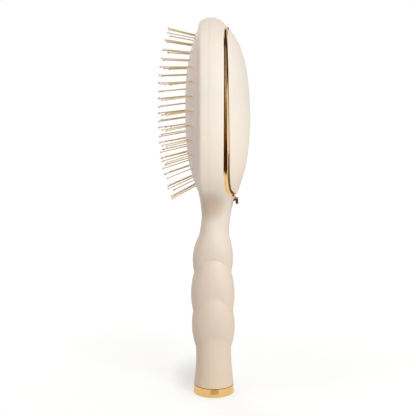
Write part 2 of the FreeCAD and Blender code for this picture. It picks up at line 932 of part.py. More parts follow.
def pin_placements():
    """Each pin's height share on the dome and its placement, its own +Z along the pin."""
    found = []
    for x, z in pin_places():
        across = x / pad_half_width
        along = (z - pad_centre_height) / pad_half_length
        fall_across = size["pad_crown"] * outline_power_across / pad_half_width
        fall_along = size["pad_crown"] * outline_power_along / pad_half_length
        slope_across = fall_across * across ** (outline_power_across - 1)
        slope_along = fall_along * math.copysign(abs(along) ** (outline_power_along - 1), along)
        share = dome_share(x, z)
        y = -size["pad_seat_depth"] - size["pad_crown"] * share
        for hand in (1, -1) if x else (1,):
            outward = Vector(hand * slope_across, -1, slope_along).normalize()
            outward = Rotation(Vector(1, 0, 0), pin_lean + pin_side_lean * across).multVec(outward)
            turn = Rotation(Vector(0, 0, 1), outward)
            found.append((share, Placement(Vector(hand * x, y, z), turn)))
    return found


pins = pin_placements()
pin_foot = -size["pad_thickness"] - size["pin_head_gap"]
pin_end = size["pin_proud"] - size["ball_radius"] + size["ball_depth"]


def upright(radius, low, high):
    """A cylinder on the pin's own axis."""
    return Part.makeCylinder(radius, high - low, Vector(0, 0, low))


pin_shape = upright(size["pin_radius"], pin_foot, pin_end).fuse(
    upright(size["pin_head_radius"], pin_foot - size["pin_head_height"], pin_foot)
)
ball_shape = Part.makeSphere(size["ball_radius"], Vector(0, 0, size["pin_proud"])).cut(
    upright(size["pin_radius"], 0, pin_end)
)
hole_shape = upright(size["pin_radius"] + size["pin_hole_gap"], 2 * pin_foot, -pin_foot)


def placed(shape, placements):
    """One copy of a shape at each placement."""
    copies = []
    for placement in placements:
        copy = shape.copy()
        copy.Placement = placement
        copies.append(copy)
    return Part.makeCompound(copies)


pin_holes = solid_feature("pin_holes", placed(hole_shape, [placement for share, placement in pins]))
vent_height = pad_centre_height + pin_row_start + pin_row_pitch / 2
vent = Part.makeCylinder(
    size["vent_radius"], -far_front, Vector(0, far_front, vent_height), Vector(0, 1, 0)
)
pad_vent = solid_feature("pad_vent", vent)
cushion_pad = cut("cushion_pad", pad_body, [pad_hollow, pin_holes, pad_vent])
cushion_pad.Label = "cushion_pad"

# Zones of the dome from the crown to the rim: name, and the lowest height share of its pins
zones = [("crown", 0.85), ("inner", 0.6), ("outer", 0.35), ("rim", 0.0)]
pin_nodes = []
highest = 1.1
for zone, lowest in zones:
    here = [placement for share, placement in pins if lowest <= share < highest]
    shares = [share for share, placement in pins if lowest <= share < highest]
    print("%s zone: %d pins, mean height share %.3f" % (zone, len(here), sum(shares) / len(here)))
    pin_nodes.append(("pins_" + zone, solid_feature("pins_" + zone, placed(pin_shape, here))))
    pin_nodes.append(("tips_" + zone, solid_feature("tips_" + zone, placed(ball_shape, here))))
    highest = lowest


def turned(name, corners):
    """A turned piece: its half profile, as formulas for radius and height, swung about +Z."""
    body = doc.addObject("PartDesign::Body", name)
    sketch = body.newObject("Sketcher::SketchObject", name + "_profile")
    plane = [item for item in body.Origin.OriginFeatures if item.Role == "XZ_Plane"][0]
    sketch.AttachmentSupport = [(plane, "")]
    sketch.MapMode = "FlatFace"
    points = [Vector(measure(radius), measure(height), 0) for radius, height in corners]
    for number, point in enumerate(points):
        sketch.addGeometry(Part.LineSegment(point, points[(number + 1) % len(points)]), False)
    for number, (radius, height) in enumerate(corners):
        following = (number + 1) % len(corners)
        sketch.addConstraint(Sketcher.Constraint("Coincident", number, 2, following, 1))
        for kind, formula, axis in (("DistanceX", radius, -2), ("DistanceY", height, -1)):
            if formula == "0":
                sketch.addConstraint(Sketcher.Constraint("PointOnObject", number, 1, axis))
                continue
            index = sketch.addConstraint(
                Sketcher.Constraint(kind, -1, 1, number, 1, measure(formula))
            )
            bind(sketch, "Constraints[%d]" % index, formula)
    swing = body.newObject("PartDesign::Revolution", name + "_swing")
    swing.Profile = sketch
    swing.ReferenceAxis = (sketch, ["V_Axis"])
    swing.Angle = 360
    return body


# Base plate behind the cushion, and its screws
base_blank = solid_feature("base_blank", oval_prism(size["pad_flange_width"], base_front, base_back))
base_holes = solid_feature(
    "base_holes",
    rods_at(boss_places, size["screw_radius"] + size["screw_gap"], far_front, base_back),
)
base_vent = solid_feature("base_vent", rods_at([(0.0, 0.0)], 2 * size["vent_radius"], far_front, base_back))
base_seats = solid_feature(
    "base_seats",
    rods_at(
        boss_places,
        size["screw_head_radius"] + size["screw_gap"],
        far_front,
        base_front + size["screw_head_height"],
    ),
)
base_plate = cut("base_plate", base_blank, [base_holes, base_seats, base_vent])
base_plate.Label = "base_plate"

base_screw = turned(
    "base_screw",
    [
        ("0", "screw_recess_depth"),
        ("screw_recess_radius", "screw_recess_depth"),
        ("screw_recess_radius", "0"),
        ("screw_head_radius", "0"),
        ("screw_head_radius", "screw_head_height"),
        ("screw_radius", "screw_head_height"),
        ("screw_radius", "screw_length"),
        ("0", "screw_length"),
    ],
)
cover_screw = turned(
    "cover_screw",
    [
        ("0", "screw_recess_depth"),
        ("screw_recess_radius", "screw_recess_depth"),
        ("screw_recess_radius", "0"),
        ("cover_screw_head_radius", "0"),
        ("cover_screw_head_radius", "cover_screw_head_height"),
        ("cover_screw_radius", "cover_screw_head_height"),
        ("cover_screw_radius", "cover_screw_length"),
        ("0", "cover_screw_length"),
    ],
)

# Storage tray
tray_outside = ellipse_body(
    "tray_outside",
    0.0,
    "-tray_floor_depth",
    "tray_floor_depth + tray_seat + tray_flange",
)
tray_inside = ellipse_body(
    "tray_inside",
    -size["tray_wall"],
    "tray_wall - tray_floor_depth",
    "head_back_depth",
)
tray_rim = ellipse_body(
    "tray_rim",
    size["tray_rim_width"],
    "tray_seat",
    "tray_flange",
)
storage_tray = cut("storage_tray", fuse("storage_tray", [tray_outside, tray_rim]), [tray_inside])
storage_tray.Label = "storage_tray"

# Latch: a plate in its channel, a stem through the back shell, and the tab that rides just off the neck
latch_plate = box(
    "latch_plate",
    "-latch_half_width",
    "latch_front",
    latch_bottom,
    "2 * latch_half_width",
    "latch_thickness",
    "latch_length",
)
latch_stem = box(
    "latch_stem",
    "-stem_half_width",
    "latch_front + latch_thickness",
    tab_bottom,
    "2 * stem_half_width",
    "tab_reach - latch_front - latch_thickness",
    "tab_thickness",
)
neck_form = doc.addObject("Part::Feature", "neck_form")
neck_form.Shape = outer_form.Shape
bind(neck_form, "Placement.Base.y", "tab_gap")
tab_blank = box(
    "tab_blank",
    "-tab_half_width",
    "latch_front + latch_thickness",
    tab_bottom,
    "2 * tab_half_width",
    "tab_reach - latch_front - latch_thickness",
    "tab_thickness",
)
latch_tab = cut("latch_tab", tab_blank, [neck_form])
latch_lip = box(
    "latch_lip",
    "-tab_half_width",
    "tab_reach - lip_thickness",
    tab_bottom + " - lip_drop",
    "2 * tab_half_width",
    "lip_thickness",
    "lip_drop",
)
latch_slider = fuse("latch_slider", [latch_plate, latch_stem, latch_tab, latch_lip])
latch_slider.Refine = True
latch_slider.Label = "latch_slider"

latch_spring = doc.addObject("PartDesign::Body", "latch_spring")
wire_section = latch_spring.newObject("Sketcher::SketchObject", "wire_section")
spring_plane = [item for item in latch_spring.Origin.OriginFeatures if item.Role == "XZ_Plane"][0]
wire_section.AttachmentSupport = [(spring_plane, "")]
wire_section.MapMode = "FlatFace"
wire_place = Vector(size["spring_coil_radius"], size["spring_wire_radius"], 0)
wire_section.addGeometry(Part.Circle(wire_place, Vector(0, 0, 1), size["spring_wire_radius"]), False)
wire_radius = wire_section.addConstraint(Sketcher.Constraint("Radius", 0, size["spring_wire_radius"]))
bind(wire_section, "Constraints[%d]" % wire_radius, "spring_wire_radius")
wire_out = wire_section.addConstraint(
    Sketcher.Constraint("DistanceX", -1, 1, 0, 3, size["spring_coil_radius"])
)
bind(wire_section, "Constraints[%d]" % wire_out, "spring_coil_radius")
wire_up = wire_section.addConstraint(
    Sketcher.Constraint("DistanceY", -1, 1, 0, 3, size["spring_wire_radius"])
)
bind(wire_section, "Constraints[%d]" % wire_up, "spring_wire_radius")
doc.recompute()
spring_coil = latch_spring.newObject("PartDesign::AdditiveHelix", "spring_coil")
spring_coil.Profile = wire_section
spring_coil.ReferenceAxis = (wire_section, ["V_Axis"])
spring_coil.Mode = 0
bind(spring_coil, "Pitch", "spring_pitch")
bind(spring_coil, "Height", "spring_length - 2 * spring_wire_radius - spring_gap")
bind(latch_spring, "Placement.Base.y", "latch_front + latch_thickness / 2")
bind(latch_spring, "Placement.Base.z", latch_bottom + " - spring_length")

cover_blank = box(
    "cover_blank",
    "-cover_half_width",
    "latch_front - spring_gap - cover_thickness",
    cover_bottom,
    "2 * cover_half_width",
    "cover_thickness",
    "cover_length",
)
latch_cover = cut("latch_cover", cover_blank, [cover_bores])
latch_cover.Label = "latch_cover"

# End cap and the plug that carries it
end_cap = turned(
    "end_cap",
    [
        ("0", "0"),
        ("cap_foot_radius", "0"),
        ("cap_top_radius", "cap_height"),
        (flange_radius + " + screw_gap", "cap_height"),
        (flange_radius + " + screw_gap", "cap_floor"),
        ("0", "cap_floor"),
    ],
)
end_plug = turned(
    "end_plug",
    [
        ("0", "cap_floor"),
        (flange_radius, "cap_floor"),
        (flange_radius, "cap_height"),
        (bore_radius + " - hinge_pin_gap", "cap_height"),
        (bore_radius + " - hinge_pin_gap", "cap_height + plug_length - plug_chamfer"),
        (bore_radius + " - hinge_pin_gap - plug_chamfer", "cap_height + plug_length"),
        (bore_radius + " - hinge_pin_gap - plug_wall", "cap_height + plug_length"),
        (bore_radius + " - hinge_pin_gap - plug_wall", "cap_height"),
        ("0", "cap_height"),
    ],
)
doc.recompute()
foot_edges = [
    "Edge%d" % number
    for number, edge in enumerate(end_cap.Shape.Edges, start=1)
    if edge.Closed and abs(edge.BoundBox.ZMax) < size["cap_edge_round"]
]
cap_round = end_cap.newObject("PartDesign::Fillet", "cap_round")
cap_round.Base = (end_cap.Tip if end_cap.Tip != cap_round else end_cap.Group[-2], foot_edges)
bind(cap_round, "Radius", "cap_edge_round")
doc.recompute()


def screws_at(places, shape, front):
    """A screw at each place, the face of its head at a depth."""
    placements = []
    for x, offset in places:
        foot = Vector(x, front, pad_centre_height + offset)
        placements.append(Placement(foot, towards_back))
    return placed(shape, placements)


base_screws = solid_feature("base_screws", screws_at(boss_places, base_screw.Shape, base_front))
cover_screw_face = cover_front - size["cover_screw_head_height"]
latch_screws = solid_feature(
    "latch_screws", screws_at(cover_screw_places, cover_screw.Shape, cover_screw_face)
)

nodes = [
    ("front_shell", front_shell),
    ("back_shell", back_shell),
    ("cushion_pad", cushion_pad),
    ("base_plate", base_plate),
    ("base_screws", base_screws),
    ("storage_tray", storage_tray),
    ("trim_ring", trim_ring),
    ("hinge_pin", hinge_pin),
    ("lid", lid),
    ("latch_slider", latch_slider),
    ("latch_spring", latch_spring),
    ("latch_cover", latch_cover),
    ("latch_screws", latch_screws),
    ("end_cap", end_cap),
    ("end_plug", end_plug),
] + pin_nodes

# Nothing is written unless every object is sound
for item in doc.Objects:
    if "Invalid" in item.State or "Error" in item.State:
        raise RuntimeError("%s is not sound: %s" % (item.Name, item.State))
for name, item in nodes:
    if item.Shape.isNull() or not item.Shape.isValid() or not item.Shape.Solids:
        raise RuntimeError("%s has no valid solid" % name)

os.makedirs("parts", exist_ok=True)
for name, item in nodes:
    item.Shape.exportStep("parts/%s.step" % name)
    print("%s: %d solids, %.1f mm3" % (name, len(item.Shape.Solids), item.Shape.Volume))
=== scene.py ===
import json
import math

import bmesh
import bpy
from mathutils import Matrix, Quaternion, Vector
from mathutils.bvhtree import BVHTree


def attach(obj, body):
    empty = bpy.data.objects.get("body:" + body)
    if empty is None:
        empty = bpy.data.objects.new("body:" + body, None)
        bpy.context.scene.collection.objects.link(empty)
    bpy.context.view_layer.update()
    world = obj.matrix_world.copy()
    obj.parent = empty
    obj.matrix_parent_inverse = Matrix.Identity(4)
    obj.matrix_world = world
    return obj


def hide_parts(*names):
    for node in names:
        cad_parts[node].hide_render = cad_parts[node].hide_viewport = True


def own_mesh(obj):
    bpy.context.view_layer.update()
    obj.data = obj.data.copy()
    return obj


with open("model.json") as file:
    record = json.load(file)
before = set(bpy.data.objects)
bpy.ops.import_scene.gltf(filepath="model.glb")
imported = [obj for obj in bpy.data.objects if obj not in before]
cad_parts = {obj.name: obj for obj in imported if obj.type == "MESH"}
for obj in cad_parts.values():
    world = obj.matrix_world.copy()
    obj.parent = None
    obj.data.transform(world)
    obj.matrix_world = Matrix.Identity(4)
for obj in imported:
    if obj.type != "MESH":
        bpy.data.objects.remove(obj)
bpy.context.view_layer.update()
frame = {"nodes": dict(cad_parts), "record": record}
nodes = frame["nodes"]
scene = bpy.context.scene

MM = 0.001
SAME_PLACE = 0.001 * MM

# The cushion's dome, as the construction has it
PAD_CENTRE = 178.7 * MM
PAD_HALF_LENGTH = 49.5 * MM
PAD_HALF_WIDTH = 31.2 * MM
PAD_CROWN = 7.9 * MM
PAD_SEAT = -9.7 * MM
PAD_FLANGE_FRONT = -7.65 * MM
PAD_FLANGE_BACK = -6.45 * MM
POWER_ACROSS = 2.3
POWER_ALONG = 2.8

# Moulded surfaces: a slow drift of the colour, with a fine grain and a coarser peel as the height
DRIFT_SCALE = 28.0
DRIFT_DETAIL = 3.0
DRIFT_DARK = 0.88
DRIFT_LIGHT = 1.06
GRAIN_SCALE = 2600.0
GRAIN_DETAIL = 2.0
PEEL_SCALE = 420.0
PEEL_DETAIL = 1.0
PEEL_SHARE = 1.6
MOULDED_DEPTH = 0.1 * MM

# Plated surfaces: faint streaks as the height, with spots of wear in the colour and the roughness
STREAK_STRETCH = (900.0, 900.0, 40.0)
STREAK_DETAIL = 2.0
WEAR_SCALE = 60.0
WEAR_DETAIL = 3.0
WEAR_ROUGHNESS = 0.08
PLATED_BUMP = 0.02
PLATED_DEPTH = 0.02 * MM
CAP_EDGE = (5.15 * MM, 5.45 * MM)
CAP_EDGE_TONE = "7C4A22"
CAP_EDGE_SHARE = 0.8

# Painted light and shade on the shell: over the head's own stretch, painted light on the lower head, painted
# shade darkening towards the foot and a painted shadow in the hollow of the neck
HEAD_Z = (118.0 * MM, 138.0 * MM)
LOW_HEAD_Z = (187.0 * MM, 143.0 * MM)
LOW_HEAD_PAINTED_LIGHT = "F9EDDC"
FOOT_Z = (175.0 * MM, 0.0)
FOOT_PAINTED_SHADE = "DFCBB5"
HOLLOW_AT = (-1.6 * MM, 121.5 * MM)
HOLLOW_REACH = (9.5 * MM, 11.0 * MM)
HOLLOW_PAINTED_SHADOW = "C4A283"
HOLLOW_SHADOW_SHARE = 0.6

# The shell's parting line, fainter on the handle, and painted warm bounce light on the rim round the cushion
SEAM_Y = -3.0 * MM
SEAM_HALF_WIDTH = 0.16 * MM
SEAM_LEVELS = (0.25, 1.0)
SEAM_TONE = "8F7566"
SEAM_SHARE = 0.32
SEAM_DEPTH = 2.0
RIM_Y = (-8.3 * MM, -9.8 * MM)
RIM_PAINTED_BOUNCE = "FBE3D2"
RIM_BOUNCE_SHARE = 0.7


# Materials
def linear(hexed):
    """A colour written as RRGGBB, as linear light."""
    channels = []
    for start in (0, 2, 4):
        value = int(hexed[start:start + 2], 16) / 255
        channels.append(value / 12.92 if value <= 0.04045 else ((value + 0.055) / 1.055) ** 2.4)
    return (*channels, 1.0)


def grey(value):
    """A grey of one level."""
    return (value, value, value, 1.0)


class Tree:
    """Short calls for building one node tree."""

    def __init__(self, tree):
        self.tree = tree

    def feed(self, socket, value):
        """Gives an input another node's output, or a plain value."""
        if isinstance(value, bpy.types.NodeSocket):
            self.tree.links.new(value, socket)
        else:
            socket.default_value = value

    def add(self, kind, inputs=None, **settings):
        """One node: its settings, then its inputs as values or as other nodes' outputs."""
        node = self.tree.nodes.new(kind)
        for name, value in settings.items():
            setattr(node, name, value)
        for name, value in (inputs or {}).items():
            self.feed(node.inputs[name], value)
        return node

    def math(self, operation, first, second=0.0, clamp=False):
        """One sum on two numbers."""
        return self.add(
            "ShaderNodeMath", {0: first, 1: second}, operation=operation, use_clamp=clamp
        ).outputs[0]

    def mix(self, factor, first, second, blend="MIX"):
        """Two colours mixed."""
        node = self.add(
            "ShaderNodeMix", {0: factor, 6: first, 7: second}, data_type="RGBA", blend_type=blend
        )
        return node.outputs[2]

    def span(self, value, limits, levels=(0.0, 1.0)):
        """A number's place between two limits, as a place between two levels."""
        inputs = {
            "Value": value,
            "From Min": limits[0],
            "From Max": limits[1],
            "To Min": levels[0],
            "To Max": levels[1],
        }
        return self.add("ShaderNodeMapRange", inputs).outputs[0]

    def noise(self, place, scale, detail):
        """A soft noise in the places given."""
        inputs = {"Vector": place, "Scale": scale, "Detail": detail}
        return self.add("ShaderNodeTexNoise", inputs).outputs[0]

    def spot(self, places, centre, reach):
        """One at a centre, falling to zero at the reach, over two directions."""
        level = 1.0
        for place, start, far in zip(places, centre, reach):
            away = self.math("DIVIDE", self.math("SUBTRACT", place, start), far)
            level = self.math("SUBTRACT", level, self.math("MULTIPLY", away, away), clamp=True)
        return level


def mottle_group():
    """Shared effect: soft colour drift of a moulded surface, and its fine grain as a height."""
    group = bpy.data.node_groups.new("moulded_surface", "ShaderNodeTree")
    face = group.interface
    face.new_socket("Vector", in_out="INPUT", socket_type="NodeSocketVector")
    face.new_socket("Colour", in_out="INPUT", socket_type="NodeSocketColor")
    face.new_socket("Drift", in_out="INPUT", socket_type="NodeSocketFloat")
    face.new_socket("Grain", in_out="INPUT", socket_type="NodeSocketFloat")
    face.new_socket("Colour", in_out="OUTPUT", socket_type="NodeSocketColor")
    face.new_socket("Height", in_out="OUTPUT", socket_type="NodeSocketFloat")
    tree = Tree(group)
    place, colour, drift, grain = tree.add("NodeGroupInput").outputs[:4]
    lighter = tree.mix(1.0, colour, grey(DRIFT_LIGHT), "MULTIPLY")
    darker = tree.mix(1.0, colour, grey(DRIFT_DARK), "MULTIPLY")
    drifted = tree.mix(tree.noise(place, DRIFT_SCALE, DRIFT_DETAIL), darker, lighter)
    fine = tree.noise(place, GRAIN_SCALE, GRAIN_DETAIL)
    peel = tree.noise(place, PEEL_SCALE, PEEL_DETAIL)
    both = tree.math("ADD", fine, tree.math("MULTIPLY", peel, PEEL_SHARE))
    result = tree.add("NodeGroupOutput")
    tree.feed(result.inputs[0], tree.mix(drift, colour, drifted))
    tree.feed(result.inputs[1], tree.math("MULTIPLY", both, grain))
    return group


MOTTLE = mottle_group()


def material(name):
    """A new material with its tree, its shader and its object coordinates."""
    made = bpy.data.materials.new(name)
    made.use_nodes = True
    tree = Tree(made.node_tree)
    shader = made.node_tree.nodes["Principled BSDF"]
    place = tree.add("ShaderNodeTexCoord").outputs["Object"]
    return made, tree, shader, place


def finish_shader(tree, shader, colour, height, bump, depth):
    """Joins a colour, and a height as bump, to the shader."""
    raised = tree.add("ShaderNodeBump", {"Strength": bump, "Distance": depth, "Height": height})
    tree.feed(shader.inputs["Base Color"], colour)
    tree.feed(shader.inputs["Normal"], raised.outputs[0])


def shell_painted_light_and_seam(tree, place, colour, height):
    """The shell's colour with painted light and shade by place, and its height with the parting line."""
    split = tree.add("ShaderNodeSeparateXYZ", {0: place})
    y = split.outputs[1]
    z = split.outputs[2]
    head = tree.span(z, HEAD_Z)
    # Painted light: the lower head is made lighter where its downward-facing surfaces would fall into shade
    low_head = tree.math("MULTIPLY", tree.span(z, LOW_HEAD_Z), head)
    colour = tree.mix(low_head, colour, linear(LOW_HEAD_PAINTED_LIGHT))
    # Painted shade: the shell darkens towards the foot, as the light falls off downwards
    colour = tree.mix(tree.span(z, FOOT_Z), colour, linear(FOOT_PAINTED_SHADE))
    # Painted shadow in the hollow where the head runs into the neck
    hollow = tree.math("MULTIPLY", tree.spot((y, z), HOLLOW_AT, HOLLOW_REACH), HOLLOW_SHADOW_SHARE)
    colour = tree.mix(hollow, colour, linear(HOLLOW_PAINTED_SHADOW))
    offset = tree.math("ABSOLUTE", tree.math("SUBTRACT", y, SEAM_Y))
    line = tree.math("SUBTRACT", 1.0, tree.math("DIVIDE", offset, SEAM_HALF_WIDTH), clamp=True)
    line = tree.math("MULTIPLY", line, tree.span(z, HEAD_Z, SEAM_LEVELS))
    colour = tree.mix(tree.math("MULTIPLY", line, SEAM_SHARE), colour, linear(SEAM_TONE))
    height = tree.math("SUBTRACT", height, tree.math("MULTIPLY", line, SEAM_DEPTH))
    # Painted warm bounce light on the rim round the cushion
    rim = tree.math("MULTIPLY", tree.math("MULTIPLY", tree.span(y, RIM_Y), head), RIM_BOUNCE_SHARE)
    return tree.mix(rim, colour, linear(RIM_PAINTED_BOUNCE)), height


def moulded(name, hexed, roughness, drift=0.25, grain=1.0, bump=0.12, shell=False, coat=0.0, sheen=0.0):
    """Soft-touch or satin moulded plastic, with the shell's painted light and shade and parting line where
    asked.
    """
    made, tree, shader, place = material(name)
    inputs = {0: place, 1: linear(hexed), 2: drift, 3: grain}
    effect = tree.add("ShaderNodeGroup", inputs, node_tree=MOTTLE)
    colour, height = effect.outputs
    if shell:
        colour, height = shell_painted_light_and_seam(tree, place, colour, height)
    finish_shader(tree, shader, colour, height, bump, MOULDED_DEPTH)
    shader.inputs["Roughness"].default_value = roughness
    shader.inputs["Coat Weight"].default_value = coat
    shader.inputs["Sheen Weight"].default_value = sheen
    return made


def plated(name, light_hex, dark_hex, roughness, brushed=0.0, edge=None, metal=1.0):
    """Polished or brushed plating: metal with faint streaks and spots of wear."""
    made, tree, shader, place = material(name)
    stretch = tree.add("ShaderNodeMapping", {"Vector": place, "Scale": STREAK_STRETCH})
    streak = tree.noise(stretch.outputs[0], 1.0, STREAK_DETAIL)
    wear = tree.noise(place, WEAR_SCALE, WEAR_DETAIL)
    colour = tree.mix(wear, linear(light_hex), linear(dark_hex))
    if edge:
        z = tree.add("ShaderNodeSeparateXYZ", {0: place}).outputs[2]
        lip = tree.math("MULTIPLY", tree.span(z, edge), CAP_EDGE_SHARE)
        colour = tree.mix(lip, colour, linear(CAP_EDGE_TONE))
    rough = tree.math("ADD", tree.math("MULTIPLY", wear, WEAR_ROUGHNESS), roughness)
    tree.feed(shader.inputs["Roughness"], rough)
    shader.inputs["Metallic"].default_value = metal
    finish_shader(tree, shader, colour, streak, PLATED_BUMP + brushed, PLATED_DEPTH)
    return made


LOOKS = {
    "shell_cream": moulded("cream_soft_touch", "EBE3D8", 0.55, drift=0.15, bump=0.10, shell=True, sheen=0.03),
    "cushion": moulded("cushion_rubber", "F1E6DF", 0.62, drift=0.45, grain=1.4, bump=0.22),
    "plate": moulded("inner_plastic", "E4D9CB", 0.5, drift=0.3),
    "tray": moulded("tray_plastic", "EFE4D8", 0.38, drift=0.2, bump=0.06, coat=0.15),
    "screw_steel": plated("screw_plating", "B9BABD", "93959A", 0.28, brushed=0.10),
    "pin_steel": plated("hinge_pin_plating", "E9C78C", "C99F66", 0.2, brushed=0.05),
    "spring_steel": plated("spring_wire_steel", "AEB0B4", "84868A", 0.3, brushed=0.05),
    "gold": plated("gold_trim_plating", "F4D193", "E6B976", 0.12),
    "gold_cap": plated("gold_cap_plating", "F0CD8C", "E0B46E", 0.17, edge=CAP_EDGE),
    "latch_gold": plated("latch_plating", "7E5A3E", "64452F", 0.36, metal=0.6),
    "pin_wire": plated("pin_wire_plating", "E4CFA3", "CFB588", 0.45, metal=0.3),
    "pin_tip": moulded("pin_tip_gloss", "E6D3CF", 0.25, drift=0.35, bump=0.02, coat=0.4),
}

# The construction's own solids: their finish, and shading that is smooth but for their edges
WELD_DISTANCE = 0.002 * MM
EDGE_ANGLE = 28.0
slots = {row["node"]: row["material_slot"] for row in frame["record"]["subparts"]}
for name, node in nodes.items():
    node.data.materials.clear()
    node.data.materials.append(LOOKS[slots[name]])
    for polygon in node.data.polygons:
        polygon.use_smooth = True
    joined = node.modifiers.new("joined", "WELD")
    joined.merge_threshold = WELD_DISTANCE
    edges = node.modifiers.new("edges", "EDGE_SPLIT")
    edges.split_angle = math.radians(EDGE_ANGLE)
    edges.use_edge_sharp = False


# Pieces
def new_piece(name, mesh, slot_name, edge_angle, stands_for=()):
    """A finished mesh as a piece: smooth up to an edge angle, with its finish and what it stands for."""
    data = bpy.data.meshes.new(name)
    bmesh.ops.recalc_face_normals(mesh, faces=mesh.faces)
    mesh.to_mesh(data)
    mesh.free()
    obj = bpy.data.objects.new(name, data)
    scene.collection.objects.link(obj)
    data.materials.append(LOOKS[slot_name])
    for polygon in data.polygons:
        polygon.use_smooth = True
    data.set_sharp_from_angle(angle=math.radians(edge_angle))
    if stands_for:
        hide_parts(*stands_for)
    return obj


def islands(node):
    """The separate solids of a node, each as a list of its points."""
    mesh = bmesh.new()
    mesh.from_mesh(nodes[node].data)
    bmesh.ops.remove_doubles(mesh, verts=mesh.verts, dist=SAME_PLACE)
    seen = set()
    found = []
    for start in mesh.verts:
        if start in seen:
            continue
        seen.add(start)
        group = [start]
        stack = [start]
        while stack:
            vert = stack.pop()
            for edge in vert.link_edges:
                other = edge.other_vert(vert)
                if other not in seen:
                    seen.add(other)
                    group.append(other)
                    stack.append(other)
        found.append([vert.co.copy() for vert in group])
    mesh.free()
    found.sort(key=lambda points: tuple(round(sum(p[k] for p in points) / len(points), 6) for k in (2, 0, 1)))
    return found


def middle(points):
    """The mean of some points."""
    total = Vector((0.0, 0.0, 0.0))
    for point in points:
        total += point
    return total / len(points)


def turned(profile, turns):
    """A turned form on +Z as a mesh: its profile is (along, radius) pairs from end to end, in mm."""
    form = bmesh.new()
    chain = [form.verts.new((radius * MM, 0.0, along * MM)) for along, radius in profile]
    edges = [form.edges.new(pair) for pair in zip(chain, chain[1:])]
    bmesh.ops.spin(
        form,
        geom=chain + edges,
        cent=(0.0, 0.0, 0.0),
        axis=(0.0, 0.0, 1.0),
        angle=2 * math.pi,
        steps=turns,
        use_merge=True,
    )
    bmesh.ops.remove_doubles(form, verts=form.verts, dist=SAME_PLACE)
    bmesh.ops.recalc_face_normals(form, faces=form.faces)
    data = bpy.data.meshes.new("turned")
    form.to_mesh(data)
    form.free()
    return data


def stamp(mesh, form, foot, axis):
    """Adds a copy of a turned form, its +Z along an axis from a foot point."""
    there = set(mesh.verts)
    mesh.from_mesh(form)
    fresh = [vert for vert in mesh.verts if vert not in there]
    place = Matrix.Translation(foot) @ axis.to_track_quat("Z", "Y").to_matrix().to_4x4()
    bmesh.ops.transform(mesh, matrix=place, verts=fresh)


# Pins as the construction has them: each ball's middle and the direction of its wire
ZONES = ("crown", "inner", "outer", "rim")
TIP_SHARE = 0.1
HEAD_SHARE = 0.16


def pins_of(zone):
    """The pins of a zone. A wire's end is the mean of its points within a share of its length."""
    wires = []
    for points in islands("pins_" + zone):
        tip = min(points, key=lambda point: point.y)
        head = max(points, key=lambda point: point.y)
        length = (tip - head).length
        tip_side = middle([point for point in points if (point - tip).length < TIP_SHARE * length])
        head_side = middle([point for point in points if (point - head).length < HEAD_SHARE * length])
        wires.append((head_side, (tip_side - head_side).normalized()))
    found = []
    for points in islands("tips_" + zone):
        ball = middle(points)
        head_side = min(wires, key=lambda wire: (ball - wire[0]).cross(wire[1]).length)[0]
        found.append((ball, (ball - head_side).normalized()))
    return found


pins = {zone: pins_of(zone) for zone in ZONES}

# Cushion: the domed rubber skin, drawn inwards ring by ring, its flange and a collar at each pin
RINGS = 46
SPOKES = 176
RING_POWER = 0.9
FLANGE_WIDTH = 0.9 * MM
FLANGE_INSIDE = -3.0 * MM
SKIRT = [
    (FLANGE_INSIDE, PAD_FLANGE_BACK),
    (FLANGE_WIDTH, PAD_FLANGE_BACK),
    (FLANGE_WIDTH, PAD_FLANGE_FRONT),
    (0.0, PAD_FLANGE_FRONT),
]
COLLAR_PROFILE = [(-0.25, 1.25), (0.02, 1.12), (0.20, 0.86), (0.30, 0.58), (0.30, 0.42), (0.05, 0.36)]
COLLAR_SIDES = 16
FOOT_STEPS = 4


def dome_point(x, z):
    """A point on the cushion's skin."""
    across = (abs(x) / PAD_HALF_WIDTH) ** POWER_ACROSS
    along = (abs(z - PAD_CENTRE) / PAD_HALF_LENGTH) ** POWER_ALONG
    return Vector((x, PAD_SEAT - PAD_CROWN * (1.0 - across - along), z))


def outline_point(angle, share):
    """A place on the cushion's outline, drawn in by a share."""
    across = math.copysign(abs(math.cos(angle)) ** (2 / POWER_ACROSS), math.cos(angle))
    along = math.copysign(abs(math.sin(angle)) ** (2 / POWER_ALONG), math.sin(angle))
    return (
        share * PAD_HALF_WIDTH * across,
        PAD_CENTRE + share * PAD_HALF_LENGTH * along,
    )


def skirt_place(angle, growth, depth):
    """A point beside the cushion's outline."""
    x, z = outline_point(angle, 1.0)
    outward = Vector((x, 0.0, z - PAD_CENTRE)).normalized() * growth
    return Vector((x + outward.x, depth, z + outward.z))


def dome_place(angle, share):
    """A point of the cushion's skin on one of its spokes."""
    return dome_point(*outline_point(angle, share))


def next_ring(form, ring, edges):
    """One more ring inside the last: its points in the same order, and its edges."""
    made = bmesh.ops.extrude_edge_only(form, edges=edges)["geom"]
    fresh = {item for item in made if isinstance(item, bmesh.types.BMVert)}
    inner = [
        next(edge.other_vert(vert) for edge in vert.link_edges if edge.other_vert(vert) in fresh)
        for vert in ring
    ]
    inner_edges = [
        item for item in made if isinstance(item, bmesh.types.BMEdge) and fresh.issuperset(item.verts)
    ]
    return inner, inner_edges


def foot_on_dome(ball, axis):
    """Where a pin's middle line meets the cushion's skin."""
    foot = ball.copy()
    for _ in range(FOOT_STEPS):
        foot -= axis * ((foot.y - dome_point(foot.x, foot.z).y) / axis.y)
    return foot


